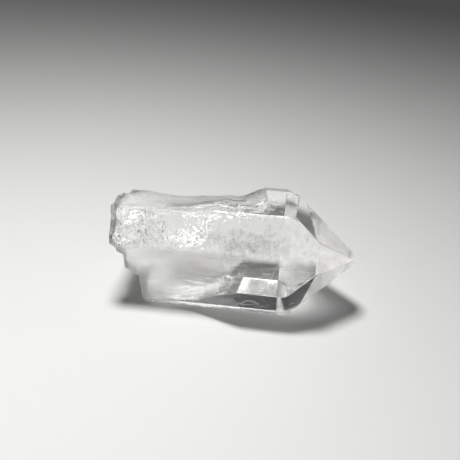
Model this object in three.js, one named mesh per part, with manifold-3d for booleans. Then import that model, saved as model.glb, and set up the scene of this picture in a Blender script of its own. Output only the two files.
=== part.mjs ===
/**
 * A natural quartz point, broken from its root and lying on one prism face.
 *
 * Units are millimetres. X runs along the crystal's long axis with the tip at +X, Z is up,
 * and the origin lies under the middle of the crystal, on the surface that it rests on.
 * The solid starts as the six prism faces and the pyramid of the tip, each a flat cut
 * through space. The broken root, the broken shoulder and the chips are then carved out.
 */
import * as THREE from 'three';
import { ConvexGeometry } from 'three/addons/geometries/ConvexGeometry.js';
import { mergeVertices } from 'three/addons/utils/BufferGeometryUtils.js';
import Module from 'manifold-3d';

const wasm = await Module();
wasm.setup();

// ---- Driving dimensions ----------------------------------------------------------------

// The tip faces meet at TIP_X. The crystal grew this long, before its root broke off.
const GROWN_LENGTH = 51;
const TIP_X = 25;
// The long axis is the line through the tip, parallel to X.
const AXIS_Y = -2.69;
const AXIS_Z = 12.1;

// Distance of each prism face from the long axis, and how far the tip's face beside it
// grew out past the middle of the tip, or fell short of it. The angle says which way the
// face looks, in degrees round the axis: 0 is up, 90 is to the front (-Y), 180 is down.
const PRISM_FACES = {
  top: { angle: 0, distance: 9.7, tipOffset: -0.25 },
  frontUpper: { angle: 60, distance: 6.4, tipOffset: 0.15 },
  frontLower: { angle: 120, distance: 10.3, tipOffset: -0.2 },
  bottom: { angle: 180, distance: AXIS_Z, tipOffset: 0.85 },
  backLower: { angle: 240, distance: 13.2, tipOffset: 0.4 },
  backUpper: { angle: 300, distance: 13, tipOffset: 0.75 },
};

// Quartz's own angles, in degrees: how far a face of the tip leans in from the prism
// face behind it, and how far the steep facet leans that cuts one corner between them.
const TIP_FACE_LEAN = 38.21;
const STEEP_FACET_LEAN = 14.7;
const STEEP_FACET_X = 10.9;

// How far the edges and the tip are worn back, and the small edges round the worn tip.
const EDGE_WEAR = 0.08;
const TIP_WEAR = 0.8;
const TIP_ROUNDING = 0.25;

// The root broke off in two levels, with a stair of ledges between them. Each ledge is
// given by its height and by how much further back the root reaches above it.
const LOWER_ROOT_X = -19;
const ROOT_LEDGES = [
  { height: 7.8, run: 1.6 },
  { height: 8.8, run: 1.4 },
  { height: 12.9, run: 1.4 },
  { height: 14.5, run: 1.45 },
];
const LEDGE_RISE = 1.1;
const LEDGE_TILT = 0.12;
const ROOT_FOOT = { height: 2.4, run: 0.9 };
const ROOT_GRAIN = { height: 0.25, wavelength: 5 };

// Shallow shell-shaped hollows in the broken root: where they are, how wide and how deep.
const ROOT_SHELLS = [
  { y: 9.4, z: 10, radius: 5, depth: 1.2 },
  { y: -3.6, z: 16.5, radius: 4, depth: 0.6 },
  { y: 5.4, z: 8, radius: 5, depth: 1.3 },
  { y: -2.6, z: 5.5, radius: 5, depth: 0.8 },
];

// The shoulder between the top and the back upper face is broken away on the root side:
// how far it drops at the back, where it ends at the back, how much further it runs
// towards the tip at the front, and over what length it fades.
const SHOULDER_DROP = 3.5;
const SHOULDER_END_X = 6;
const SHOULDER_END_SKEW = 3.5;
const SHOULDER_FADE = 6.5;
const SHOULDER_HOLLOW = 0.3;
const SHOULDER_GRAIN = { height: 0.16, wavelength: 4.5 };
// Where it has died out, the break runs this far clear above the top face.
const SHOULDER_SKIM = 0.12;
const SHOULDER_CLEARANCE = 0.7;
const SHOULDER_LIFT_LENGTH = 2;
// Towards the root the break also takes the edge between the top and the front upper face.
const FRONT_DROP = 0.7;
const FRONT_DROP_FULL_X = -8;
const FRONT_DROP_END_X = -2;

// Shell-shaped hollows in the shoulder. The one with a negative depth is a hump.
const SHOULDER_SHELLS = [
  { x: 0.5, y: -0.1, radius: 5.2, depth: 0.6 },
  { x: -14.5, y: 5.4, radius: 7, depth: 1.4 },
  { x: -26, y: 7.4, radius: 4, depth: 0.2 },
  { x: -25, y: 1.5, radius: 5, depth: -1.2 },
];

// The corner between the two front faces is broken away on the root side too. The break
// is given by where it lies at two heights, and it leans out towards the tip low down. It
// ends in a step that slants up towards the tip.
const FRONT_BREAK_LOW = { z: 3, y: -10, skew: 0.1 };
const FRONT_BREAK_HIGH = { z: 14, y: -8.7 };
const FRONT_BREAK_END_X = -5.05;
const FRONT_BREAK_END_SLOPE = 1.05;
const FRONT_BREAK_END_LENGTH = 8;
const FRONT_BREAK_STEP = 3.6;
const FRONT_BREAK_TOP_Z = 19;
const FRONT_BREAK_GRAIN = { height: 0.08, wavelength: 9 };

// Chips along the front foot, where the front lower face meets the bottom.
const FOOT_CHIPS = [
  { x: -13.5, radius: 1.3 },
  { x: -10.2, radius: 1.9 },
  { x: -6.8, radius: 1.2 },
  { x: -3.9, radius: 1.5 },
  { x: -0.8, radius: 2.4 },
  { x: 3.1, radius: 1.5 },
  { x: 6.4, radius: 1.1 },
  { x: 8.9, radius: 1.4 },
];
const CHIP_BITE = 0.35;
const CHIP_DETAIL = 3;

// Side of one square of the grid that a broken surface is drawn on, and how far the waste
// behind such a surface reaches past the crystal, so that it takes everything.
const GRID = 0.85;
const WASTE_REACH = 5;

// ---- Places worked out from them -------------------------------------------------------

const TOP_Z = AXIS_Z + PRISM_FACES.top.distance;
const FRONT_EDGE_Y = AXIS_Y + edgeOffset(PRISM_FACES.top, PRISM_FACES.frontUpper, -1);
const FRONT_FOOT_Y = AXIS_Y + edgeOffset(PRISM_FACES.bottom, PRISM_FACES.frontLower, -1);
const BACK_EDGE_Y = AXIS_Y + edgeOffset(PRISM_FACES.top, PRISM_FACES.backUpper, 1);
const FRONT_CORNER_Y = AXIS_Y
  - (PRISM_FACES.frontUpper.distance + PRISM_FACES.frontLower.distance) / Math.sqrt(3);
const BACK_CORNER_Y = AXIS_Y
  + (PRISM_FACES.backUpper.distance + PRISM_FACES.backLower.distance) / Math.sqrt(3);

/** How far along Y the edge lies between a level prism face and the sloping one beside it. */
function edgeOffset(level, sloping, side) {
  return side * (sloping.distance - level.distance / 2) / (Math.sqrt(3) / 2);
}

// ---- Helpers ---------------------------------------------------------------------------

/** Join a three.js geometry's shared corners and hand it to manifold-3d as a solid. */
function solidFrom(geometry) {
  geometry.deleteAttribute('normal');
  geometry.deleteAttribute('uv');
  const merged = mergeVertices(geometry);
  return new wasm.Manifold(new wasm.Mesh({
    numProp: 3,
    vertProperties: new Float32Array(merged.attributes.position.array),
    triVerts: new Uint32Array(merged.index.array),
  }));
}

function geometryFrom(solid) {
  const mesh = solid.getMesh();
  const geometry = new THREE.BufferGeometry();
  geometry.setAttribute('position', new THREE.BufferAttribute(mesh.vertProperties, 3));
  geometry.setIndex(new THREE.BufferAttribute(mesh.triVerts, 1));
  return geometry;
}

/** 0 below the first bound and 1 above the second, with a smooth climb between them. */
function climb(value, from, to) {
  return THREE.MathUtils.smoothstep(value, from, to);
}

/** The uneven skin of a broken surface: crossed waves, each shorter than the last. */
function unevenness(u, v, grain) {
  const waves = 5;
  const turn = 2.4;
  let sum = 0;
  for (let i = 0; i < waves; i++) {
    const across = u * Math.cos(i * turn) + v * Math.sin(i * turn);
    const wavelength = grain.wavelength * (1 - i / (waves + 2));
    sum += Math.sin((2 * Math.PI * across) / wavelength + i * turn);
  }
  return (grain.height * sum) / waves;
}

/** Depth of a shell-shaped hollow at some distance from its middle. */
function shellDepth(shell, distance) {
  if (distance >= shell.radius) return 0;
  return shell.depth * (1 - (distance / shell.radius) ** 2);
}

// ---- The grown crystal -----------------------------------------------------------------

/** The way a face looks that leans in towards the tip from one of the prism faces. */
function facing(prismFace, lean) {
  const around = THREE.MathUtils.degToRad(prismFace.angle);
  const inward = THREE.MathUtils.degToRad(lean);
  return new THREE.Vector3(
    Math.sin(inward),
    -Math.sin(around) * Math.cos(inward),
    Math.cos(around) * Math.cos(inward),
  );
}

/** The unworn crystal's faces, as planes measured from the tip. */
function grownFaces() {
  const faces = [];
  for (const prismFace of Object.values(PRISM_FACES)) {
    faces.push({ normal: facing(prismFace, 0), distance: prismFace.distance });
    faces.push({ normal: facing(prismFace, TIP_FACE_LEAN), distance: prismFace.tipOffset });
  }
  const { frontLower } = PRISM_FACES;
  const steep = facing(frontLower, STEEP_FACET_LEAN);
  const corner = facing(frontLower, 0).multiplyScalar(frontLower.distance);
  corner.x = STEEP_FACET_X - TIP_X;
  faces.push({ normal: steep, distance: steep.dot(corner) });
  faces.push({ normal: new THREE.Vector3(1, 0, 0), distance: -TIP_WEAR, wear: TIP_ROUNDING });
  faces.push({ normal: new THREE.Vector3(-1, 0, 0), distance: GROWN_LENGTH });
  return faces;
}

function meetingPoint(a, b, c) {
  const bc = new THREE.Vector3().crossVectors(b.normal, c.normal);
  const ca = new THREE.Vector3().crossVectors(c.normal, a.normal);
  const ab = new THREE.Vector3().crossVectors(a.normal, b.normal);
  const determinant = a.normal.dot(bc);
  if (Math.abs(determinant) < 1e-6) return null;
  return bc.multiplyScalar(a.distance)
    .addScaledVector(ca, b.distance)
    .addScaledVector(ab, c.distance)
    .divideScalar(determinant);
}

/** Every corner of the solid that the faces enclose. */
function cornersOf(faces) {
  const corners = [];
  const inside = (point) => faces.every((face) => face.normal.dot(point) < face.distance + 1e-6);
  for (let i = 0; i < faces.length; i++) {
    for (let j = i + 1; j < faces.length; j++) {
      for (let k = j + 1; k < faces.length; k++) {
        const point = meetingPoint(faces[i], faces[j], faces[k]);
        if (point && inside(point)) corners.push(point);
      }
    }
  }
  return corners;
}

/** The faces, with a narrow worn flat along every edge between two of them. */
function withWornEdges(faces) {
  const corners = cornersOf(faces);
  const isOn = (face, point) => Math.abs(face.normal.dot(point) - face.distance) < 1e-4;
  const worn = [...faces];
  for (let i = 0; i < faces.length; i++) {
    for (let j = i + 1; j < faces.length; j++) {
      const shared = corners.filter((point) => isOn(faces[i], point) && isOn(faces[j], point));
      if (!shared.some((point) => point.distanceTo(shared[0]) > EDGE_WEAR)) continue;
      const normal = new THREE.Vector3().addVectors(faces[i].normal, faces[j].normal).normalize();
      const wear = faces[i].wear ?? faces[j].wear ?? EDGE_WEAR;
      worn.push({ normal, distance: normal.dot(shared[0]) - wear });
    }
  }
  return worn;
}

function grownCrystal() {
  const geometry = new ConvexGeometry(cornersOf(withWornEdges(grownFaces())));
  geometry.translate(TIP_X, AXIS_Y, AXIS_Z);
  return solidFrom(geometry);
}

// ---- The broken surfaces ---------------------------------------------------------------

/** Where the broken root ends along X. */
function rootX(y, z) {
  let x = LOWER_ROOT_X;
  for (const ledge of ROOT_LEDGES) {
    const above = z - ledge.height + LEDGE_TILT * (y - FRONT_CORNER_Y);
    x -= ledge.run * climb(above, -LEDGE_RISE / 2, LEDGE_RISE / 2);
  }
  for (const shell of ROOT_SHELLS) {
    x += shellDepth(shell, Math.hypot(y - shell.y, z - shell.z));
  }
  x += ROOT_FOOT.run * Math.max(0, 1 - z / ROOT_FOOT.height) ** 2;
  return x + unevenness(y, z, ROOT_GRAIN);
}

/** Height of the broken shoulder. Past its end the break runs clear above the crystal. */
function shoulderZ(x, y) {
  const back = (y - FRONT_EDGE_Y) / (BACK_EDGE_Y - FRONT_EDGE_Y);
  const endX = SHOULDER_END_X + SHOULDER_END_SKEW * (1 - back);
  const broken = 1 - climb(x, endX - SHOULDER_FADE, endX);
  const lifted = climb(x, endX - SHOULDER_LIFT_LENGTH, endX);
  let z = TOP_Z + THREE.MathUtils.lerp(SHOULDER_SKIM, SHOULDER_CLEARANCE, lifted);
  z -= SHOULDER_DROP * broken * back * (1 + SHOULDER_HOLLOW * (1 - back));
  z -= FRONT_DROP * (1 - climb(x, FRONT_DROP_FULL_X, FRONT_DROP_END_X));
  for (const shell of SHOULDER_SHELLS) {
    z -= shellDepth(shell, Math.hypot(x - shell.x, y - shell.y));
  }
  return z + broken * unevenness(x, y, SHOULDER_GRAIN);
}

/** Where the front break lies. Past its end it runs clear in front of the crystal. */
function frontBreakY(x, z) {
  const rise = (z - FRONT_BREAK_LOW.z) / (FRONT_BREAK_HIGH.z - FRONT_BREAK_LOW.z);
  const endX = FRONT_BREAK_END_X + FRONT_BREAK_END_SLOPE * (z - FRONT_BREAK_LOW.z);
  const ended = climb(x, endX - FRONT_BREAK_END_LENGTH / 2, endX + FRONT_BREAK_END_LENGTH / 2);
  const lowY = FRONT_BREAK_LOW.y - FRONT_BREAK_LOW.skew * x;
  const y = THREE.MathUtils.lerp(lowY, FRONT_BREAK_HIGH.y, rise) - FRONT_BREAK_STEP * ended;
  return y + unevenness(x, z, FRONT_BREAK_GRAIN);
}

/** A block from one corner to the other, cut into grid squares on the two sides named. */
function block(low, high, gridded) {
  const size = new THREE.Vector3().subVectors(high, low);
  const middle = new THREE.Vector3().addVectors(low, high).divideScalar(2);
  const squares = (axis) => (gridded.includes(axis) ? Math.round(size[axis] / GRID) : 1);
  const geometry = new THREE.BoxGeometry(
    size.x, size.y, size.z, squares('x'), squares('y'), squares('z'),
  );
  return geometry.translate(middle.x, middle.y, middle.z);
}

/** Everything beyond the broken root. */
function rootWaste() {
  const low = new THREE.Vector3(-TIP_X - WASTE_REACH, FRONT_CORNER_Y - WASTE_REACH, -WASTE_REACH);
  const high = new THREE.Vector3(0, BACK_CORNER_Y + WASTE_REACH, TOP_Z + WASTE_REACH);
  const geometry = block(low, high, 'yz');
  const corners = geometry.attributes.position;
  for (let i = 0; i < corners.count; i++) {
    if (corners.getX(i) > (low.x + high.x) / 2) {
      corners.setX(i, rootX(corners.getY(i), corners.getZ(i)));
    }
  }
  return solidFrom(geometry);
}

/** Everything above the broken shoulder. */
function shoulderWaste() {
  const low = new THREE.Vector3(-TIP_X - WASTE_REACH, FRONT_EDGE_Y - WASTE_REACH / 2, 0);
  const high = new THREE.Vector3(
    SHOULDER_END_X + 2 * SHOULDER_END_SKEW, BACK_CORNER_Y + WASTE_REACH, TOP_Z + WASTE_REACH,
  );
  const geometry = block(low, high, 'xy');
  const corners = geometry.attributes.position;
  for (let i = 0; i < corners.count; i++) {
    if (corners.getZ(i) < (low.z + high.z) / 2) {
      corners.setZ(i, shoulderZ(corners.getX(i), corners.getY(i)));
    }
  }
  return solidFrom(geometry);
}

/** Everything in front of the broken front corner. */
function frontWaste() {
  const low = new THREE.Vector3(-TIP_X - WASTE_REACH, FRONT_CORNER_Y - WASTE_REACH, -WASTE_REACH);
  const high = new THREE.Vector3(TIP_X / 2, 0, FRONT_BREAK_TOP_Z);
  const geometry = block(low, high, 'xz');
  const corners = geometry.attributes.position;
  for (let i = 0; i < corners.count; i++) {
    if (corners.getY(i) > (low.y + high.y) / 2) {
      corners.setY(i, frontBreakY(corners.getX(i), corners.getZ(i)));
    }
  }
  return solidFrom(geometry);
}

/** One flake knocked off the front foot: a ball that bites a little into the edge. */
function footChip({ x, radius }) {
  const outward = new THREE.Vector3(0, -0.5, -Math.sqrt(3) / 2);
  const middle = outward.multiplyScalar(radius * (1 - CHIP_BITE));
  const geometry = new THREE.IcosahedronGeometry(radius, CHIP_DETAIL);
  geometry.translate(x, FRONT_FOOT_Y + middle.y, middle.z);
  return solidFrom(geometry);
}

function brokenCrystal() {
  let crystal = grownCrystal()
    .subtract(rootWaste())
    .subtract(shoulderWaste())
    .subtract(frontWaste());
  for (const chip of FOOT_CHIPS) crystal = crystal.subtract(footChip(chip));
  return crystal;
}

// ---- The object ------------------------------------------------------------------------

const clearQuartz = new THREE.MeshStandardMaterial({
  color: 0xeceeec,
  roughness: 0.05,
  metalness: 0,
  transparent: true,
  opacity: 0.4,
});

const crystal = new THREE.Mesh(geometryFrom(brokenCrystal()), clearQuartz);
crystal.name = 'quartz_crystal';

const group = new THREE.Group();
group.add(crystal);

export default group;
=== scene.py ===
"""A clear quartz point: the finished look of the crystal on a pale floor."""

import itertools
import math

import bmesh
import bpy
import numpy as np
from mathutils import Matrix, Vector, noise


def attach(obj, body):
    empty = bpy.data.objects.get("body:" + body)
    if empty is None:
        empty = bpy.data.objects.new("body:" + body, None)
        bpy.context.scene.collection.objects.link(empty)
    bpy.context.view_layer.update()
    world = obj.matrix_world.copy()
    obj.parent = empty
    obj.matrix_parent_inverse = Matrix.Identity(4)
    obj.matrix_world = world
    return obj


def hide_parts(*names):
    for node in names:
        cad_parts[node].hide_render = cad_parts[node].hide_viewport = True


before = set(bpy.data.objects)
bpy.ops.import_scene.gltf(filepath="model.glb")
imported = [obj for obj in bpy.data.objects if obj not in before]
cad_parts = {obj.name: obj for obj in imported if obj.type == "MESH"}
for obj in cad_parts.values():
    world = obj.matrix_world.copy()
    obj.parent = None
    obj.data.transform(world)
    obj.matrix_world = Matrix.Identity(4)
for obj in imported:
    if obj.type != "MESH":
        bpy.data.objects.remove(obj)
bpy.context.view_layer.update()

MM = 0.001
NODE = "quartz_crystal"

# ---- The crystal's sizes, in millimetres -----------------------------------------------

# The shape has the CAD's own values. Only its edges are sharper here (EDGE_WEAR), rounded
# in more steps (EDGE_ROUNDING_STEPS), and its breaks have a finer grid (GRID, CHIP_DETAIL).

# The tip faces meet at TIP_X. The crystal grew this long, before its root broke off.
GROWN_LENGTH = 51
TIP_X = 25
# The long axis is the line through the tip, parallel to X.
AXIS_Y = -2.69
AXIS_Z = 12.1

# Which way each prism face looks, in degrees round the axis (0 is up, 90 is to the front),
# its distance from the axis, and how far the tip's face beside it grew out past the middle
# of the tip, or fell short of it.
PRISM_FACES = {
    "top": (0, 9.7, -0.25),
    "front_upper": (60, 6.4, 0.15),
    "front_lower": (120, 10.3, -0.2),
    "bottom": (180, AXIS_Z, 0.85),
    "back_lower": (240, 13.2, 0.4),
    "back_upper": (300, 13, 0.75),
}
# Quartz's own angles, in degrees: how far a face of the tip leans in from the prism face
# behind it, and how far the steep facet leans that cuts one corner between them.
TIP_FACE_LEAN = 38.21
STEEP_FACET_LEAN = 14.7
STEEP_FACET_X = 10.9
# How far the edges are worn back and in how many flats they are rounded, how far the tip
# is worn back, and how far the small edges round it are.
EDGE_WEAR = 0.035
EDGE_ROUNDING_STEPS = 3
TIP_WEAR = 0.8
TIP_ROUNDING = 0.25

# The root broke off in two levels, with a stair of ledges between them. Each ledge is
# given by its height and by how much further back the root reaches above it.
LOWER_ROOT_X = -19
ROOT_LEDGES = ((7.8, 1.6), (8.8, 1.4), (12.9, 1.4), (14.5, 1.45))
LEDGE_RISE = 1.1
LEDGE_TILT = 0.12
ROOT_FOOT_HEIGHT = 2.4
ROOT_FOOT_RUN = 0.9
# A grain is the height of an uneven skin and its longest wave.
ROOT_GRAIN = (0.25, 5)
# Shallow shell-shaped hollows in the broken root: Y, Z, radius and depth.
ROOT_SHELLS = (
    (9.4, 10, 5, 1.2),
    (-3.6, 16.5, 4, 0.6),
    (5.4, 8, 5, 1.3),
    (-2.6, 5.5, 5, 0.8),
)

# The shoulder between the top and the back upper face is broken away on the root side:
# how far it drops at the back, where it ends at the back, how much further it runs towards
# the tip at the front, and over what length it fades.
SHOULDER_DROP = 3.5
SHOULDER_END_X = 6
SHOULDER_END_SKEW = 3.5
SHOULDER_FADE = 6.5
SHOULDER_HOLLOW = 0.3
SHOULDER_GRAIN = (0.16, 4.5)
# Where it has died out, the break runs this far clear above the top face.
SHOULDER_SKIM = 0.12
SHOULDER_CLEARANCE = 0.7
SHOULDER_LIFT_LENGTH = 2
# Towards the root the break also takes the edge between the top and the front upper face.
FRONT_DROP = 0.7
FRONT_DROP_FULL_X = -8
FRONT_DROP_END_X = -2
# Shell-shaped hollows in the shoulder: X, Y, radius and depth. The last one is a hump.
SHOULDER_SHELLS = (
    (0.5, -0.1, 5.2, 0.6),
    (-14.5, 5.4, 7, 1.4),
    (-26, 7.4, 4, 0.2),
    (-25, 1.5, 5, -1.2),
)

# The corner between the two front faces is broken away on the root side too. The break is
# given by its Z and Y at two heights, and it leans out towards the tip low down. It ends
# in a step that slants up towards the tip.
FRONT_BREAK_LOW = (3, -10)
FRONT_BREAK_LOW_SKEW = 0.1
FRONT_BREAK_HIGH = (14, -8.7)
FRONT_BREAK_END_X = -5.05
FRONT_BREAK_END_SLOPE = 1.05
FRONT_BREAK_END_LENGTH = 8
FRONT_BREAK_STEP = 3.6
FRONT_BREAK_TOP_Z = 19
FRONT_BREAK_GRAIN = (0.08, 9)

# Chips along the front foot, where the front lower face meets the bottom: X and radius.
FOOT_CHIPS = (
    (-13.5, 1.3),
    (-10.2, 1.9),
    (-6.8, 1.2),
    (-3.9, 1.5),
    (-0.8, 2.4),
    (3.1, 1.5),
    (6.4, 1.1),
    (8.9, 1.4),
)
CHIP_BITE = 0.35
CHIP_DETAIL = 4

# Side of one square of the grid that a broken surface is drawn on. The waste behind such a
# surface is a block that reaches past the crystal all round, so that it takes everything.
GRID = 0.22
ROOT_WASTE_DEPTH = 5
SHOULDER_WASTE_DEPTH = 4
FRONT_WASTE_DEPTH = 6
WASTE_START_X = -TIP_X - 3
WASTE_SIDE_Y = 16
WASTE_MARGIN = 2
WASTE_FOOT_Z = -1

# How near zero counts as zero, how near a corner lies to each face that it is on, how near
# corners are joined into one, and how near a point of the broken crystal lies to a grown
# face that is left.
NEXT_TO_NOTHING = 1e-6
CORNER_NEARNESS = 1e-4
JOINED_CORNERS = 0.002
FACE_NEARNESS = 0.003

# ---- Places worked out from them -------------------------------------------------------

TOP_Z = AXIS_Z + PRISM_FACES["top"][1]


def edge_offset(level, sloping, side):
    """How far along Y the edge lies between a level prism face and the one beside it."""
    return side * (PRISM_FACES[sloping][1] - PRISM_FACES[level][1] / 2) / (math.sqrt(3) / 2)


FRONT_EDGE_Y = AXIS_Y + edge_offset("top", "front_upper", -1)
FRONT_FOOT_Y = AXIS_Y + edge_offset("bottom", "front_lower", -1)
BACK_EDGE_Y = AXIS_Y + edge_offset("top", "back_upper", 1)
FRONT_CORNER_Y = AXIS_Y - (PRISM_FACES["front_upper"][1] + PRISM_FACES["front_lower"][1]) / math.sqrt(3)

# ---- What is inside the crystal, in millimetres ----------------------------------------

# Each cloud of flakes: its middle, its reach along X, Y and Z, how many flakes, how wide
# the widest are, and their other width as a share of that one.
WHITE_CLOUDS = (
    # The crumbly white patch left of the middle.
    ((-8.6, -4.2, 14.3), (3.6, 0.9, 1.9), 330, 0.95, 0.6),
    ((-9.4, -4.2, 13.6), (2.2, 0.7, 1.2), 240, 0.7, 0.6),
    ((-8.0, -3.9, 15.9), (2.8, 0.9, 1.5), 200, 0.8, 0.6),
    # Its arm up to the top edge, and its tail towards the root.
    ((-6.6, -3.4, 16.8), (2.4, 0.9, 2.0), 170, 0.7, 0.5),
    ((-4.2, -2.4, 19.0), (1.2, 0.8, 1.4), 90, 0.6, 0.5),
    ((-12.5, -4.2, 14.6), (2.4, 0.8, 0.8), 120, 0.5, 0.6),
    # The slivers under the broken shoulder.
    ((-8.0, 2.2, 18.2), (9.0, 3.4, 0.7), 1500, 0.8, 0.4),
    ((3.0, 1.0, 19.8), (4.0, 3.0, 0.6), 500, 0.7, 0.4),
    # The bright slivers near the root.
    ((-20.6, -4.6, 18.6), (2.6, 0.8, 1.6), 110, 1.5, 0.3),
    ((-21.4, -7.4, 14.6), (2.4, 0.8, 1.0), 60, 0.9, 0.3),
    # A few above the front foot and along the front corner.
    ((-8.4, -8.0, 2.9), (3.2, 0.5, 0.7), 50, 1.7, 0.4),
    ((10.0, -7.0, 11.4), (9.0, 0.8, 1.4), 40, 0.45, 0.3),
)
# Nearly clear veils behind the upper and the lower front face.
VEIL_CLOUDS = (
    ((2.0, -5.3, 15.6), (13.0, 1.2, 4.4), 560, 2.6, 0.8),
    ((-8.0, -6.0, 8.0), (12.0, 1.2, 3.6), 260, 2.4, 0.8),
)
# Small clear gaps in the white patch and behind the lower front face.
AIR_CLOUDS = (
    ((-8.8, -4.4, 14.8), (4.0, 1.5, 2.8), 30, 0.5, 1),
    ((4.0, -5.6, 8.0), (6.0, 2.5, 2.0), 40, 0.3, 1),
)
# Flakes lie this far inside the crystal's skin. They look roughly this way, each turned
# from it at random. White flakes and gaps are bunched: they lie where a slow noise,
# blurred a little, is above BUNCHING.
FLAW_MARGIN = 0.5
FLAW_FACING = (0.04, -0.475, 0.88)
FLAW_SCATTER = 0.45
BUNCHING = 0.14
BUNCH_FINENESS = 1.1
BUNCH_BLUR = 0.3

# The layer behind the broken root is full of fractures to this depth, with fewer further
# in. They lie ROOT_MARGIN inside the crystal's other faces, and most of them look along
# it. Low down, the front of the layer is clear.
ROOT_FRACTURES = 13000
ROOT_FRACTURE_DEPTH = 4.5
ROOT_FRACTURE_WIDEST = 1.1
ROOT_THINNING = 1.8
ROOT_MARGIN = 1.5
ROOT_CLEAR_Y = -5
ROOT_CLEAR_Z = 8
ROOT_FACING = (0.97, 0, 0.15)
ROOT_SCATTER = 0.35
ROOT_BUNCHING = 0.02
ROOT_BUNCH_FINENESS = 0.35
ROOT_BUNCH_BLUR = 0.5

# A flake is a flat double pyramid. Its size, its corners' angles and their reach vary.
FLAKE_CORNERS = 5
FLAKE_FLATNESS = 0.08
FLAKE_SMALLEST = 0.25
FLAKE_CORNER_SWAY = 0.6
FLAKE_CORNER_NEAREST = 0.5
FLAKE_CORNER_SPREAD = 0.9

# Single fine cracks: the points that each one runs through, and its width.
HAIRS = (
    # Arcs and lines along the front foot.
    (((-3.1, -7.0, 1.0), (-2.4, -8.3, 3.3), (-0.7, -8.9, 5.0),
      (0.7, -8.8, 4.7), (1.2, -7.9, 2.1)), 0.4),
    (((-8.6, -7.3, 1.2), (-6.7, -8.4, 3.7), (-4.8, -8.4, 3.7), (-3.8, -7.7, 1.8)), 0.36),
    (((2.4, -8.4, 3.3), (3.2, -9.1, 4.9), (4.6, -9.3, 5.5),
      (5.6, -8.9, 4.6), (6.0, -8.4, 3.2)), 0.3),
    (((1.6, -8.5, 3.6), (3.0, -8.5, 3.4), (4.2, -8.4, 3.1)), 0.14),
    (((-5.0, -7.9, 2.2), (-1.0, -8.4, 2.9), (3.4, -8.8, 3.4), (8.0, -9.0, 3.9)), 0.12),
    (((-10.8, -8.4, 3.3), (-9.2, -8.2, 2.9), (-7.5, -8.6, 3.8)), 0.4),
    # The thin line and the rods near the root.
    (((-22.6, -7.3, 14.5), (-18.5, -7.1, 15.1), (-13.2, -6.5, 16.0)), 0.2),
    (((-19.7, -3.9, 20.4), (-18.7, -4.6, 19.4), (-17.2, -5.2, 18.5)), 0.34),
    (((-16.7, -5.4, 18.3), (-15.4, -6.2, 16.8), (-14.2, -7.0, 15.4)), 0.24),
    (((-22.6, -5.2, 19.0), (-21.9, -4.6, 19.8), (-20.9, -4.1, 20.4)), 0.3),
    (((-22.2, -5.4, 18.4), (-21.4, -5.1, 18.7), (-20.3, -5.3, 18.5)), 0.42),
    (((-21.6, -6.0, 17.2), (-20.2, -5.8, 17.6)), 0.3),
    (((-18.6, -3.4, 20.6), (-17.3, -3.8, 20.4), (-17.6, -4.2, 20.2)), 0.26),
    # The tick behind the lower front face.
    (((-4.2, -7.7, 8.2), (-3.9, -8.3, 6.8)), 0.2),
    # Hairs in the dark band.
    (((8.1, -9.3, 7.4), (7.8, -8.6, 8.7), (8.5, -7.9, 9.8), (8.9, -7.2, 11.1)), 0.13),
    (((6.2, -6.5, 12.2), (7.8, -6.1, 13.0), (8.9, -5.6, 13.8)), 0.1),
    (((9.8, -6.4, 12.5), (9.1, -7.2, 11.1)), 0.12),
)
# Groups of short hairs along the crystal: middle, reach, how many, and the length and the
# width of the largest. They are in the dark band, along the front foot, and behind the
# lower and the upper front face.
HAIR_GROUPS = (
    ((10.6, -7.0, 11.6), (3.2, 0.5, 0.7), 26, 2.2, 0.12),
    ((0.0, -8.5, 3.4), (7.0, 0.25, 0.7), 46, 1.8, 0.22),
    ((-2.0, -7.9, 8.6), (9.0, 0.6, 2.6), 26, 1.4, 0.09),
    ((2.0, -5.0, 15.0), (8.0, 0.8, 1.6), 16, 1.6, 0.07),
)
# A hair is a rod with this many sides, turned so that one of its own edges looks out
# towards the crystal's upper front edge. It keeps this far inside the crystal, and its
# length, width, direction and bend vary.
HAIR_SIDES = 4
HAIR_SMOOTHING = 2
HAIR_UPRIGHT = (0, -0.5, 0.866)
HAIR_MARGIN = 0.3
HAIR_SHORTEST = 0.3
HAIR_THINNEST = 0.5
HAIR_SWAY = 0.12
HAIR_RISE = 0.2
HAIR_BEND = 0.06

# Fine white streaks just under the broken shoulder: how many there are, the length and the
# width of the largest, how deep they lie, and between which X and Y they start.
STREAKS = 170
STREAK_LENGTH = 3.4
STREAK_WIDTH = 0.2
STREAK_DEPTH = 0.7
STREAK_START_X = (-22, 5)
STREAK_START_Y = (FRONT_EDGE_Y + 0.4, 3.5)
STREAK_MARGIN = 0.2
STREAK_SHORTEST = 0.3
STREAK_THINNEST = 0.4
STREAK_SWAY = 0.25
STREAK_BEND = 0.1

SEED = 7


# ---- Helpers ---------------------------------------------------------------------------

def climb(value, low, high):
    """0 below low and 1 above high, with a smooth climb between them."""
    t = np.clip((value - low) / (high - low), 0, 1)
    return t * t * (3 - 2 * t)


def unevenness(u, v, grain):
    """The uneven skin of a broken surface: crossed waves, each shorter than the last."""
    height, longest = grain
    waves = 5
    turn = 2.4
    total = 0
    for i in range(waves):
        across = u * math.cos(i * turn) + v * math.sin(i * turn)
        wavelength = longest * (1 - i / (waves + 2))
        total = total + np.sin(2 * math.pi * across / wavelength + i * turn)
    return height * total / waves


def shell_depth(distance, radius, depth):
    """Depth of a shell-shaped hollow at some distance from its middle."""
    return depth * np.clip(1 - (distance / radius) ** 2, 0, None)


def unit(direction):
    return direction / np.linalg.norm(direction)


def placed_in_scene(name, data):
    thing = bpy.data.objects.new(name, data)
    bpy.context.scene.collection.objects.link(thing)
    return thing


def object_from(name, vertices, faces):
    """An object from points in millimetres and the faces between them."""
    data = bpy.data.meshes.new(name)
    data.from_pydata([tuple(vertex) for vertex in np.array(vertices) * MM], [], faces)
    data.update()
    return placed_in_scene(name, data)


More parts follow.
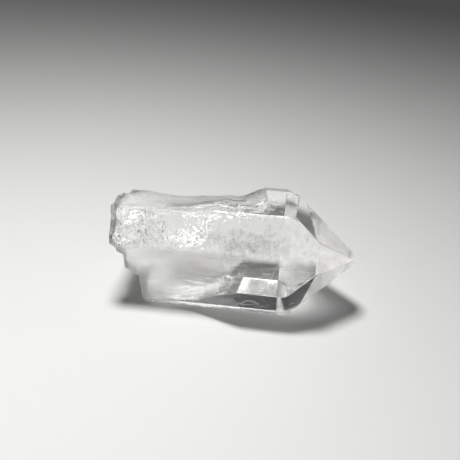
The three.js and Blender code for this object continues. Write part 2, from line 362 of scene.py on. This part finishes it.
def object_from_bmesh(name, mesh):
    data = bpy.data.meshes.new(name)
    mesh.to_mesh(data)
    mesh.free()
    return placed_in_scene(name, data)


# ---- The grown crystal -----------------------------------------------------------------

def facing(face, lean):
    """The way a face looks that leans in towards the tip from one of the prism faces."""
    around = math.radians(PRISM_FACES[face][0])
    inward = math.radians(lean)
    return np.array([math.sin(inward),
                     -math.sin(around) * math.cos(inward),
                     math.cos(around) * math.cos(inward)])


def grown_faces():
    """The unworn crystal's faces, each as its normal and its distance from the tip."""
    faces = []
    for name, (_, distance, tip_offset) in PRISM_FACES.items():
        faces.append((facing(name, 0), distance))
        faces.append((facing(name, TIP_FACE_LEAN), tip_offset))
    steep = facing("front_lower", STEEP_FACET_LEAN)
    corner = facing("front_lower", 0) * PRISM_FACES["front_lower"][1]
    corner[0] = STEEP_FACET_X - TIP_X
    faces.append((steep, steep @ corner))
    faces.append((np.array([1.0, 0, 0]), -TIP_WEAR))
    faces.append((np.array([-1.0, 0, 0]), GROWN_LENGTH))
    return faces


def corners_of(faces):
    """Every corner of the solid that the faces enclose."""
    normals = np.array([normal for normal, _ in faces])
    distances = np.array([distance for _, distance in faces])
    triples = np.array(list(itertools.combinations(range(len(faces)), 3)))
    matrices = normals[triples]
    meets = np.abs(np.linalg.det(matrices)) > NEXT_TO_NOTHING
    points = np.linalg.solve(matrices[meets], distances[triples[meets]][..., None])[..., 0]
    inside = (points @ normals.T < distances + NEXT_TO_NOTHING).all(axis=1)
    return points[inside]


def shared_corners(corners, face_a, face_b):
    """Those of the corners that lie on both faces."""
    on_both = np.full(len(corners), True)
    for normal, distance in (face_a, face_b):
        on_both &= np.abs(corners @ normal - distance) < CORNER_NEARNESS
    return corners[on_both]


def with_rounded_edges(faces):
    """The faces, with a few narrow flats that round off every edge between two of them."""
    corners = corners_of(faces)
    rounded = list(faces)
    for face_a, face_b in itertools.combinations(faces, 2):
        shared = shared_corners(corners, face_a, face_b)
        if len(shared) < 2 or np.ptp(shared, axis=0).max() < EDGE_WEAR:
            continue
        normal_a, normal_b = face_a[0], face_b[0]
        # The one face that looks straight along X is the worn tip.
        worn = TIP_ROUNDING if 1 in (normal_a[0], normal_b[0]) else EDGE_WEAR
        for step in range(1, EDGE_ROUNDING_STEPS + 1):
            share = step / (EDGE_ROUNDING_STEPS + 1)
            normal = unit((1 - share) * normal_a + share * normal_b)
            wear = worn * 4 * share * (1 - share)
            rounded.append((normal, normal @ shared[0] - wear))
    return rounded


def grown_crystal():
    mesh = bmesh.new()
    for corner in corners_of(with_rounded_edges(grown_faces())):
        mesh.verts.new((corner + (TIP_X, AXIS_Y, AXIS_Z)) * MM)
    bmesh.ops.remove_doubles(mesh, verts=mesh.verts, dist=JOINED_CORNERS * MM)
    hull = bmesh.ops.convex_hull(mesh, input=mesh.verts)
    left_over = hull["geom_interior"] + hull["geom_unused"]
    loose = {item for item in left_over if isinstance(item, bmesh.types.BMVert)}
    bmesh.ops.delete(mesh, geom=list(loose), context="VERTS")
    bmesh.ops.recalc_face_normals(mesh, faces=mesh.faces)
    return object_from_bmesh("clear_crystal", mesh)


# ---- The broken surfaces ---------------------------------------------------------------

def root_x(y, z):
    """Where the broken root ends along X."""
    x = LOWER_ROOT_X
    for height, run in ROOT_LEDGES:
        above = z - height + LEDGE_TILT * (y - FRONT_CORNER_Y)
        x = x - run * climb(above, -LEDGE_RISE / 2, LEDGE_RISE / 2)
    for shell_y, shell_z, radius, depth in ROOT_SHELLS:
        x = x + shell_depth(np.hypot(y - shell_y, z - shell_z), radius, depth)
    x = x + ROOT_FOOT_RUN * np.clip(1 - z / ROOT_FOOT_HEIGHT, 0, None) ** 2
    return x + unevenness(y, z, ROOT_GRAIN)


def shoulder_z(x, y):
    """Height of the broken shoulder. Past its end the break runs clear above the crystal."""
    back = (y - FRONT_EDGE_Y) / (BACK_EDGE_Y - FRONT_EDGE_Y)
    end_x = SHOULDER_END_X + SHOULDER_END_SKEW * (1 - back)
    broken = 1 - climb(x, end_x - SHOULDER_FADE, end_x)
    lifted = climb(x, end_x - SHOULDER_LIFT_LENGTH, end_x)
    z = TOP_Z + SHOULDER_SKIM + (SHOULDER_CLEARANCE - SHOULDER_SKIM) * lifted
    z = z - SHOULDER_DROP * broken * back * (1 + SHOULDER_HOLLOW * (1 - back))
    z = z - FRONT_DROP * (1 - climb(x, FRONT_DROP_FULL_X, FRONT_DROP_END_X))
    for shell_x, shell_y, radius, depth in SHOULDER_SHELLS:
        z = z - shell_depth(np.hypot(x - shell_x, y - shell_y), radius, depth)
    return z + broken * unevenness(x, y, SHOULDER_GRAIN)


def front_break_y(x, z):
    """Where the front break lies. Past its end it runs clear in front of the crystal."""
    low_z, low_y = FRONT_BREAK_LOW
    high_z, high_y = FRONT_BREAK_HIGH
    end_x = FRONT_BREAK_END_X + FRONT_BREAK_END_SLOPE * (z - low_z)
    ended = climb(x, end_x - FRONT_BREAK_END_LENGTH / 2, end_x + FRONT_BREAK_END_LENGTH / 2)
    low_y = low_y - FRONT_BREAK_LOW_SKEW * x
    y = low_y + (high_y - low_y) * (z - low_z) / (high_z - low_z)
    y = y - FRONT_BREAK_STEP * ended
    return y + unevenness(x, z, FRONT_BREAK_GRAIN)


def waste_block(name, us, vs, surface, far):
    """A block between a surface drawn on a grid and a flat far side, to cut away.

    surface and far turn grid places into points, and the block's faces look outwards."""
    rows, columns = len(us), len(vs)
    near = surface(*np.meshgrid(us, vs, indexing="ij")).reshape(-1, 3)
    count = rows * columns
    corners = [(us[0], vs[0]), (us[-1], vs[0]), (us[-1], vs[-1]), (us[0], vs[-1])]
    far_points = np.array([far(*corner) for corner in corners])
    faces = []
    for i in range(rows - 1):
        for j in range(columns - 1):
            a = i * columns + j
            faces.append((a, a + columns, a + columns + 1, a + 1))
    first_row = list(range(columns))
    last_row = list(range(count - columns, count))
    first_column = list(range(0, count, columns))
    last_column = list(range(columns - 1, count, columns))
    faces.append(tuple(first_column[::-1]) + (count, count + 1))
    faces.append(tuple(last_row[::-1]) + (count + 1, count + 2))
    faces.append(tuple(last_column) + (count + 2, count + 3))
    faces.append(tuple(first_row) + (count + 3, count))
    faces.append((count, count + 3, count + 2, count + 1))
    thing = object_from(name, np.vstack([near, far_points]), faces)
    mesh = bmesh.new()
    mesh.from_mesh(thing.data)
    bmesh.ops.recalc_face_normals(mesh, faces=mesh.faces)
    bmesh.ops.triangulate(mesh, faces=mesh.faces)
    mesh.to_mesh(thing.data)
    mesh.free()
    return thing


def steps(low, high):
    """Evenly spaced places from low to high, about one grid square apart."""
    return np.linspace(low, high, int(round((high - low) / GRID)) + 1)


def root_waste():
    """Everything beyond the broken root."""
    return waste_block("root_waste",
                       steps(-WASTE_SIDE_Y, WASTE_SIDE_Y),
                       steps(-WASTE_MARGIN, TOP_Z + WASTE_MARGIN),
                       lambda y, z: np.stack([root_x(y, z), y, z], -1),
                       lambda y, z: (-TIP_X - ROOT_WASTE_DEPTH, y, z))


def shoulder_waste():
    """Everything above the broken shoulder."""
    return waste_block("shoulder_waste",
                       steps(WASTE_START_X, SHOULDER_END_X + 2 * SHOULDER_END_SKEW),
                       steps(FRONT_EDGE_Y - WASTE_MARGIN, WASTE_SIDE_Y),
                       lambda x, y: np.stack([x, y, shoulder_z(x, y)], -1),
                       lambda x, y: (x, y, TOP_Z + SHOULDER_WASTE_DEPTH))


def front_waste():
    """Everything in front of the broken front corner."""
    return waste_block("front_waste",
                       steps(WASTE_START_X, TIP_X / 2),
                       steps(WASTE_FOOT_Z, FRONT_BREAK_TOP_Z),
                       lambda x, z: np.stack([x, front_break_y(x, z), z], -1),
                       lambda x, z: (x, FRONT_CORNER_Y - FRONT_WASTE_DEPTH, z))


def foot_chip(x, radius):
    """One flake knocked off the front foot: a ball that bites a little into the edge."""
    mesh = bmesh.new()
    bmesh.ops.create_icosphere(mesh, subdivisions=CHIP_DETAIL, radius=radius * MM)
    reach = radius * (1 - CHIP_BITE)
    place = Vector((x, FRONT_FOOT_Y - 0.5 * reach, -math.sqrt(3) / 2 * reach)) * MM
    bmesh.ops.translate(mesh, verts=mesh.verts, vec=place)
    return object_from_bmesh("chip", mesh)


def cut(solid, waste):
    modifier = solid.modifiers.new("cut", "BOOLEAN")
    modifier.operation = "DIFFERENCE"
    modifier.solver = "MANIFOLD"
    modifier.object = waste
    bpy.context.view_layer.objects.active = solid
    bpy.ops.object.modifier_apply(modifier=modifier.name)
    bpy.data.objects.remove(waste)


def smooth_the_breaks(solid):
    """Grown faces stay flat and crisp, and the broken surfaces between them are smooth."""
    planes = with_rounded_edges(grown_faces())
    tip = np.array([TIP_X, AXIS_Y, AXIS_Z])
    normals = np.array([normal for normal, _ in planes])
    distances = np.array([distance + normal @ tip for normal, distance in planes])
    places = np.empty(len(solid.data.vertices) * 3)
    solid.data.vertices.foreach_get("co", places)
    on_plane = np.abs((places.reshape(-1, 3) / MM) @ normals.T - distances) < FACE_NEARNESS
    broken = [not on_plane[list(polygon.vertices)].all(axis=0).any() for polygon in solid.data.polygons]
    solid.data.polygons.foreach_set("use_smooth", broken)
    mark = solid.data.attributes.new("broken", "FLOAT", "FACE")
    mark.data.foreach_set("value", np.array(broken, dtype=float))


def broken_crystal():
    solid = grown_crystal()
    cut(solid, root_waste())
    cut(solid, shoulder_waste())
    cut(solid, front_waste())
    for x, radius in FOOT_CHIPS:
        cut(solid, foot_chip(x, radius))
    smooth_the_breaks(solid)
    return solid


# ---- Flakes inside ---------------------------------------------------------------------

def well_inside(place, margin=FLAW_MARGIN):
    """Whether a place lies this far inside the grown faces, the shoulder and the front
    break. Behind the broken root, FLAW_MARGIN is enough for every flaw."""
    x, y, z = place
    offset = place - np.array([TIP_X, AXIS_Y, AXIS_Z])
    within_faces = all(normal @ offset < distance - margin for normal, distance in grown_faces())
    return (within_faces
            and x > root_x(y, z) + FLAW_MARGIN
            and z < shoulder_z(x, y) - margin
            and y > front_break_y(x, z) + margin)


def scattered(random, middle, reach, count, bunching):
    """Places in a soft cloud within the crystal, bunched where a slow noise is high or not
    bunched at all."""
    places = []
    while len(places) < count:
        place = np.array(middle) + random.normal(size=3) * reach
        kept = True
        if bunching:
            slow = noise.noise(Vector(place) * BUNCH_FINENESS)
            kept = slow + BUNCH_BLUR * random.random() > bunching
        if kept and well_inside(place):
            places.append(place)
    return places


def near_root(random):
    """A place in the layer behind the broken root, more likely close to the break."""
    # The crystal reaches about as far to the back as to the front.
    y = random.uniform(FRONT_CORNER_Y, -FRONT_CORNER_Y)
    z = random.uniform(0, TOP_Z)
    x = root_x(y, z) + FLAW_MARGIN + ROOT_FRACTURE_DEPTH * random.random() ** ROOT_THINNING
    return np.array([x, y, z])


def root_places(random):
    """Places for the root's fractures, loosely bunched and clear of the lower front."""
    places = []
    while len(places) < ROOT_FRACTURES:
        place = near_root(random)
        if place[1] < ROOT_CLEAR_Y and place[2] < ROOT_CLEAR_Z:
            continue
        slow = noise.noise(Vector(place) * ROOT_BUNCH_FINENESS)
        kept = slow + ROOT_BUNCH_BLUR * random.random() > ROOT_BUNCHING
        if kept and well_inside(place, ROOT_MARGIN):
            places.append(place)
    return places


def add_flake(vertices, faces, random, place, looks, scatter, widest, slimness, hollow):
    """A thin, jagged flake, as a flat double pyramid. A hollow one faces inwards, as a gap
    in the crystal does."""
    normal = unit(np.array(looks) + scatter * random.normal(size=3))
    along = unit(np.cross(normal, random.normal(size=3)))
    across = np.cross(normal, along) * slimness
    size = widest * (FLAKE_SMALLEST + (1 - FLAKE_SMALLEST) * random.random() ** 2) / 2
    first = len(vertices)
    for i in range(FLAKE_CORNERS):
        angle = 2 * math.pi * (i + FLAKE_CORNER_SWAY * random.random()) / FLAKE_CORNERS
        reach = size * (FLAKE_CORNER_NEAREST + FLAKE_CORNER_SPREAD * random.random())
        vertices.append(place + reach * (math.cos(angle) * along + math.sin(angle) * across))
    thickness = size * slimness * FLAKE_FLATNESS
    vertices.append(place + thickness * normal)
    vertices.append(place - thickness * normal)
    top, bottom = first + FLAKE_CORNERS, first + FLAKE_CORNERS + 1
    for i in range(FLAKE_CORNERS):
        a, b = first + i, first + (i + 1) % FLAKE_CORNERS
        if hollow:
            a, b = b, a
        faces += [(a, b, top), (b, a, bottom)]


def flakes(name, clouds, random, bunching=0, hollow=False):
    vertices, faces = [], []
    for middle, reach, count, widest, slimness in clouds:
        for place in scattered(random, middle, np.array(reach) / 2, count, bunching):
            add_flake(vertices, faces, random, place,
                      FLAW_FACING, FLAW_SCATTER, widest, slimness, hollow)
    return object_from(name, vertices, faces)


def root_fractures(name, random):
    vertices, faces = [], []
    for place in root_places(random):
        add_flake(vertices, faces, random, place,
                  ROOT_FACING, ROOT_SCATTER, ROOT_FRACTURE_WIDEST, 1, False)
    return object_from(name, vertices, faces)


# ---- Fine cracks inside ----------------------------------------------------------------

def smoothed(points):
    """The run of points with the corners in it cut off, a few times over."""
    points = np.array(points, dtype=float)
    for _ in range(HAIR_SMOOTHING):
        halves = (points[:-1] + points[1:]) / 2
        smoother = [points[0]]
        for start, half, end in zip(points[:-1], halves, points[1:]):
            smoother += [(start + half) / 2, (half + end) / 2]
        points = np.array(smoother + [points[-1]])
    return points


def add_hair(vertices, faces, points, width):
    """A fine crack as a thin rod that tapers at both ends and bends through its points."""
    points = smoothed(points)
    first = len(vertices)
    last = len(points) - 1
    vertices.append(points[0])
    for i in range(1, last):
        along = unit(points[i + 1] - points[i - 1])
        side = unit(np.cross(along, HAIR_UPRIGHT))
        upright = np.cross(side, along)
        radius = width / 2 * math.sqrt(math.sin(math.pi * i / last))
        for k in range(HAIR_SIDES):
            angle = 2 * math.pi * k / HAIR_SIDES
            vertices.append(points[i] + radius * (math.cos(angle) * side + math.sin(angle) * upright))
    vertices.append(points[-1])
    end = len(vertices) - 1
    for a in range(HAIR_SIDES):
        b = (a + 1) % HAIR_SIDES
        faces.append((first, first + 1 + b, first + 1 + a))
        faces.append((end, end - HAIR_SIDES + a, end - HAIR_SIDES + b))
        for i in range(last - 2):
            ring = first + 1 + HAIR_SIDES * i
            faces.append((ring + a, ring + b, ring + HAIR_SIDES + b, ring + HAIR_SIDES + a))


def add_hair_group(vertices, faces, random, middle, reach, count, longest, widest):
    """Short hairs along the crystal. One that would come out of it is left out."""
    for _ in range(count):
        start = np.array(middle) + random.normal(size=3) * reach
        length = longest * random.uniform(HAIR_SHORTEST, 1)
        run = length * np.array((1, HAIR_SWAY * random.normal(), HAIR_RISE * random.normal()))
        points = [start, start + run / 2 + HAIR_BEND * random.normal(size=3), start + run]
        if all(well_inside(point, HAIR_MARGIN) for point in points):
            add_hair(vertices, faces, points, widest * random.uniform(HAIR_THINNEST, 1))


def add_streak(vertices, faces, random):
    """A streak along the broken shoulder. One that would come out of it is left out."""
    x = random.uniform(*STREAK_START_X)
    y = random.uniform(*STREAK_START_Y)
    length = STREAK_LENGTH * random.uniform(STREAK_SHORTEST, 1)
    sway = STREAK_SWAY * random.normal()
    points = []
    for part in (0, 0.5, 1):
        point_x = x + length * part
        point_y = y + sway * part + STREAK_BEND * random.normal()
        points.append((point_x, point_y, shoulder_z(point_x, point_y) - STREAK_DEPTH))
    if all(well_inside(np.array(point), STREAK_MARGIN) for point in points):
        add_hair(vertices, faces, points, STREAK_WIDTH * random.uniform(STREAK_THINNEST, 1))


def hairs(name, random):
    vertices, faces = [], []
    for points, width in HAIRS:
        add_hair(vertices, faces, points, width)
    for group in HAIR_GROUPS:
        add_hair_group(vertices, faces, random, *group)
    for _ in range(STREAKS):
        add_streak(vertices, faces, random)
    return object_from(name, vertices, faces)


# ---- Materials -------------------------------------------------------------------------

QUARTZ_IOR = 1.544
ABSORPTION_COLOUR = (0.86, 0.85, 0.83, 1)
ABSORPTION_DENSITY = 4.0

# Roughness of the back faces towards the root, and the share of it that is left towards
# the tip. Depth is measured square to the upper front face, from the origin inwards.
BACK_DULLNESS = 0.42
BACK_LEAST = 0.22
BACK_FADE_DEPTH = (-5.55, -2.55)
BACK_FADE_X = (8, -3)
DEPTH_PER_Y = 0.866
DEPTH_PER_Z = 0.5

# Roughness of the broken root, of the front break, and of every other break. A pair of
# numbers is the two places, in millimetres, between which a look goes from none to full.
ROOT_DULLNESS = 0.3
ROOT_FADE_X = (-13, -16.5)
FRONT_DULLNESS = 0.5
FRONT_FADE_Y = (-5, -7)
FRONT_FADE_Z = (15, 14)
FRONT_FADE_X = (5, -9)
SHOULDER_DULLNESS = 0.08
# The places along X wander this far with a noise.
FADE_WANDER = 9
WANDER_FINENESS = 220

# The splinters on the broken faces: their height in millimetres, and a noise that is drawn
# out along the crystal.
SPLINTER_HEIGHT = 0.45
SPLINTER_STRETCH = (0.3, 1, 1)
SPLINTER_FINENESS = 900
SPLINTER_DETAIL = 5.0

FLAW_ROUGHNESS = 0.35
FLAW_IOR = 1.3
VEIL_ALPHA = 0.045

FLOOR_COLOUR = (0.82, 0.82, 0.81, 1)
FLOOR_ROUGHNESS = 0.8


def new_material(name):
    """A material, its node tree and its shader."""
    material = bpy.data.materials.new(name)
    material.use_nodes = True
    tree = material.node_tree
    return material, tree, tree.nodes["Principled BSDF"]


def object_place(tree):
    """The shaded point, in metres from the object's origin."""
    return tree.nodes.new("ShaderNodeTexCoord").outputs["Object"]


def fade(tree, value, low, high):
    """0 at low and 1 at high, both in millimetres, with a smooth climb between them. low
    may be the higher of the two."""
    node = tree.nodes.new("ShaderNodeMapRange")
    node.interpolation_type = "SMOOTHSTEP"
    tree.links.new(value, node.inputs["Value"])
    node.inputs["From Min"].default_value = min(low, high) * MM
    node.inputs["From Max"].default_value = max(low, high) * MM
    node.inputs["To Min"].default_value = 0 if low < high else 1
    node.inputs["To Max"].default_value = 1 if low < high else 0
    return node.outputs["Result"]


def reckon(tree, operation, first, second):
    """A sum on the way to the shader. Each value is a number or another node's output."""
    node = tree.nodes.new("ShaderNodeMath")
    node.operation = operation
    for socket, value in zip(node.inputs, (first, second)):
        if isinstance(value, (int, float)):
            socket.default_value = value
        else:
            tree.links.new(value, socket)
    return node.outputs["Value"]


def product(tree, first, second):
    return reckon(tree, "MULTIPLY", first, second)


def larger(tree, first, second):
    return reckon(tree, "MAXIMUM", first, second)


def grain(tree, where, fineness, detail=3.0):
    """A noise from 0 to 1, with about this many waves to the metre."""
    node = tree.nodes.new("ShaderNodeTexNoise")
    tree.links.new(where, node.inputs["Vector"])
    node.inputs["Scale"].default_value = fineness
    node.inputs["Detail"].default_value = detail
    return node.outputs["Fac"]


def quartz_roughness(tree, where, broken):
    """Dull where the crystal broke, and clouded on its back faces."""
    axes = tree.nodes.new("ShaderNodeSeparateXYZ")
    tree.links.new(where, axes.inputs[0])
    x, y, z = axes.outputs
    swing = reckon(tree, "SUBTRACT", grain(tree, where, WANDER_FINENESS), 0.5)
    along = reckon(tree, "ADD", x, product(tree, swing, FADE_WANDER * MM))

    depth = reckon(tree, "SUBTRACT", product(tree, y, DEPTH_PER_Y), product(tree, z, DEPTH_PER_Z))
    towards_root = larger(tree, fade(tree, along, *BACK_FADE_X), BACK_LEAST)
    behind = product(tree, fade(tree, depth, *BACK_FADE_DEPTH), towards_root)
    clouded = product(tree, behind, BACK_DULLNESS)

    root = product(tree, fade(tree, x, *ROOT_FADE_X), ROOT_DULLNESS)
    front = product(tree, fade(tree, y, *FRONT_FADE_Y), fade(tree, z, *FRONT_FADE_Z))
    front = product(tree, front, fade(tree, along, *FRONT_FADE_X))
    torn = larger(tree, root, product(tree, front, FRONT_DULLNESS))
    torn = product(tree, larger(tree, torn, SHOULDER_DULLNESS), broken)
    return larger(tree, clouded, torn)


def splinters(tree, where, broken):
    """The uneven surface of the breaks, as a normal."""
    stretch = tree.nodes.new("ShaderNodeMapping")
    stretch.inputs["Scale"].default_value = SPLINTER_STRETCH
    tree.links.new(where, stretch.inputs["Vector"])
    uneven = grain(tree, stretch.outputs["Vector"], SPLINTER_FINENESS, SPLINTER_DETAIL)
    bump = tree.nodes.new("ShaderNodeBump")
    bump.inputs["Strength"].default_value = 1.0
    bump.inputs["Distance"].default_value = SPLINTER_HEIGHT * MM
    tree.links.new(product(tree, uneven, broken), bump.inputs["Height"])
    return bump.outputs["Normal"]


def clear_quartz():
    """Glassy on the grown faces. Dull and uneven where it broke, and clouded behind."""
    material, tree, shader = new_material("clear_quartz")
    where = object_place(tree)
    mark = tree.nodes.new("ShaderNodeAttribute")
    mark.attribute_name = "broken"
    broken = mark.outputs["Fac"]
    tree.links.new(quartz_roughness(tree, where, broken), shader.inputs["Roughness"])
    tree.links.new(splinters(tree, where, broken), shader.inputs["Normal"])
    shader.inputs["Base Color"].default_value = (1, 1, 1, 1)
    shader.inputs["IOR"].default_value = QUARTZ_IOR
    shader.inputs["Transmission Weight"].default_value = 1.0
    absorption = tree.nodes.new("ShaderNodeVolumeAbsorption")
    absorption.inputs["Color"].default_value = ABSORPTION_COLOUR
    absorption.inputs["Density"].default_value = ABSORPTION_DENSITY
    tree.links.new(absorption.outputs["Volume"], tree.nodes["Material Output"].inputs["Volume"])
    return material


def flaw_material(name, darkest, lightest, fineness):
    """Fractures in mottled greys between the two given, seen through the clear crystal."""
    material, tree, shader = new_material(name)
    ramp = tree.nodes.new("ShaderNodeValToRGB")
    for element, grey in zip(ramp.color_ramp.elements, (darkest, lightest)):
        element.color = (grey, grey, grey, 1)
    tree.links.new(grain(tree, object_place(tree), fineness), ramp.inputs["Fac"])
    tree.links.new(ramp.outputs["Color"], shader.inputs["Base Color"])
    shader.inputs["Roughness"].default_value = FLAW_ROUGHNESS
    shader.inputs["IOR"].default_value = FLAW_IOR
    return material


def veil_material():
    """Thin veils that dim what is seen through the crystal a little."""
    material = flaw_material("misty_veils", darkest=0.45, lightest=0.6, fineness=450)
    shader = material.node_tree.nodes["Principled BSDF"]
    shader.inputs["Alpha"].default_value = VEIL_ALPHA
    return material


def floor_material():
    material, _, shader = new_material("pale_floor")
    shader.inputs["Base Color"].default_value = FLOOR_COLOUR
    shader.inputs["Roughness"].default_value = FLOOR_ROUGHNESS
    return material


# ---- Camera ----------------------------------------------------------------------------

# Angles in degrees, the photograph's side, the focal length and the tip's place in it in
# pixels, and the rest in millimetres.
CAMERA_AZIMUTH = 9.77
CAMERA_ELEVATION = 31.9
FRAME_PIXELS = 460
FOCAL_PIXELS = 700
TIP_PIXEL = (358.1, 260.4)
TIP_DISTANCE = 140
SENSOR = 36
NEAREST_SEEN = 1


def make_camera():
    azimuth = math.radians(CAMERA_AZIMUTH)
    elevation = math.radians(CAMERA_ELEVATION)
    right = Vector((math.cos(azimuth), math.sin(azimuth), 0))
    forward = Vector((-math.sin(azimuth) * math.cos(elevation),
                      math.cos(azimuth) * math.cos(elevation),
                      -math.sin(elevation)))
    up = right.cross(forward)
    scale = TIP_DISTANCE / FOCAL_PIXELS
    middle = FRAME_PIXELS / 2
    tip = Vector((TIP_X, AXIS_Y, AXIS_Z))
    place = (tip - right * (TIP_PIXEL[0] - middle) * scale
             + up * (TIP_PIXEL[1] - middle) * scale - forward * TIP_DISTANCE)
    data = bpy.data.cameras.new("camera")
    data.sensor_width = SENSOR
    data.sensor_fit = "HORIZONTAL"
    data.lens = SENSOR * FOCAL_PIXELS / FRAME_PIXELS
    data.clip_start = NEAREST_SEEN * MM
    camera = placed_in_scene("camera", data)
    camera.location = place * MM
    camera.rotation_euler = (-forward).to_track_quat("Z", "Y").to_euler()
    bpy.context.scene.camera = camera


# ---- Floor and light -------------------------------------------------------------------

# The crystal rests on the fibres of the paper, with this film of air under it, in
# millimetres. The floor reaches this far each way, in metres.
FLOOR_GAP = 0.02
FLOOR_REACH = 1

# Where each light is, where it points and how large it is, in metres, and its power in
# watts. The inner softbox stands in the same place, a little stronger, and is for the
# fractures inside.
LIGHT_SIZE = 0.07
KEY_PLACE = (-0.029, 0.0124, 0.237)
KEY_AIM = (-0.106, -0.2006, 0)
KEY_POWER = 0.71
INNER_KEY_POWER = 1.0
# Light that the tip sends back along the crystal to the fractures in its root.
GLOW_PLACE = (0.2, 0.01, 0.05)
GLOW_AIM = (-0.02, -0.002, 0.01)
GLOW_POWER = 0.5
# A wide, dim panel overhead that only the crystal and its flaws see.
PANEL_PLACE = (0, 0, 1)
PANEL_AIM = (0, 0, 0)
PANEL_SIZE = 4
PANEL_POWER = 10

# The dim room: its grey up to the horizon, and its grey from this height upwards.
ROOM_LOW_GREY = 0.04
ROOM_HIGH_GREY = 0.1
ROOM_HIGH = 0.9


def area_light(name, place, aim, size, power):
    data = bpy.data.lights.new(name, "AREA")
    data.shape = "DISK"
    data.size = size
    data.energy = power
    light = placed_in_scene(name, data)
    light.location = place
    light.rotation_euler = (Vector(place) - Vector(aim)).to_track_quat("Z", "Y").to_euler()
    return light


def gathered(name, pieces):
    collection = bpy.data.collections.new(name)
    for piece in pieces:
        collection.objects.link(piece)
    return collection


def light_inside(light, flaws, floor):
    """Let a light reach only the flaws, with nothing but the floor to block it."""
    light.light_linking.receiver_collection = gathered("lit", flaws)
    light.light_linking.blocker_collection = gathered("blocking", [floor])


def light_the_flaws(bright, root, floor):
    """The crystal would shade its own fractures, so they get light past its skin."""
    softbox = area_light("softbox_inside", KEY_PLACE, KEY_AIM, LIGHT_SIZE, INNER_KEY_POWER)
    light_inside(softbox, bright, floor)
    glow = area_light("glow_inside", GLOW_PLACE, GLOW_AIM, LIGHT_SIZE, GLOW_POWER)
    light_inside(glow, [root], floor)


def make_panel(pieces):
    panel = area_light("panel", PANEL_PLACE, PANEL_AIM, PANEL_SIZE, PANEL_POWER)
    panel.light_linking.receiver_collection = gathered("seen", pieces)


def make_world():
    world = bpy.data.worlds.new("studio")
    world.use_nodes = True
    nodes = world.node_tree.nodes
    links = world.node_tree.links
    where = nodes.new("ShaderNodeTexCoord")
    split = nodes.new("ShaderNodeSeparateXYZ")
    ramp = nodes.new("ShaderNodeValToRGB")
    for element, grey in zip(ramp.color_ramp.elements, (ROOM_LOW_GREY, ROOM_HIGH_GREY)):
        element.color = (grey, grey, grey, 1)
    ramp.color_ramp.elements[1].position = ROOM_HIGH
    links.new(where.outputs["Generated"], split.inputs[0])
    links.new(split.outputs["Z"], ramp.inputs["Fac"])
    links.new(ramp.outputs["Color"], nodes["Background"].inputs["Color"])
    bpy.context.scene.world = world


def make_floor():
    reach = FLOOR_REACH / MM
    corners = [(-reach, -reach, -FLOOR_GAP), (reach, -reach, -FLOOR_GAP),
               (reach, reach, -FLOOR_GAP), (-reach, reach, -FLOOR_GAP)]
    floor = object_from("floor", corners, [(0, 1, 2, 3)])
    floor.data.materials.append(floor_material())
    return floor


# ---- The whole picture -----------------------------------------------------------------

# A line of sight crosses many faces and veils, and each one counts as a bounce.
LIGHT_BOUNCES = 24
GLOSSY_BOUNCES = 12
VEIL_BOUNCES = 96

make_camera()
floor = make_floor()
area_light("softbox", KEY_PLACE, KEY_AIM, LIGHT_SIZE, KEY_POWER)
make_world()

crystal = broken_crystal()
# The cuts leave an empty material slot behind.
crystal.data.materials.clear()
crystal.data.materials.append(clear_quartz())
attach(crystal, "root")
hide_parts(NODE)

random = np.random.default_rng(SEED)
white = flakes("white_fractures", WHITE_CLOUDS, random, BUNCHING)
veils = flakes("misty_veils", VEIL_CLOUDS, random)
air = flakes("open_cracks", AIR_CLOUDS, random, BUNCHING, hollow=True)
root = root_fractures("root_fractures", random)
cracks = hairs("fine_cracks", random)
air.data.polygons.foreach_set("use_smooth", [True] * len(air.data.polygons))

bright_finish = flaw_material("white_flaws", darkest=0.5, lightest=1, fineness=1400)
milky_finish = flaw_material("milky_flaws", darkest=0.3, lightest=1, fineness=450)
# An open crack is a gap in the crystal, so its walls are the crystal's own.
finishes = (
    (white, bright_finish),
    (cracks, bright_finish),
    (veils, veil_material()),
    (root, milky_finish),
    (air, crystal.data.materials[0]),
)
for flaw, finish in finishes:
    flaw.data.materials.append(finish)
    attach(flaw, "root")

light_the_flaws((white, cracks), root, floor)
make_panel((crystal, white, cracks, veils, root, air))

scene = bpy.context.scene
scene.view_settings.view_transform = "Standard"
scene.cycles.max_bounces = LIGHT_BOUNCES
scene.cycles.transmission_bounces = LIGHT_BOUNCES
scene.cycles.glossy_bounces = GLOSSY_BOUNCES
scene.cycles.transparent_max_bounces = VEIL_BOUNCES
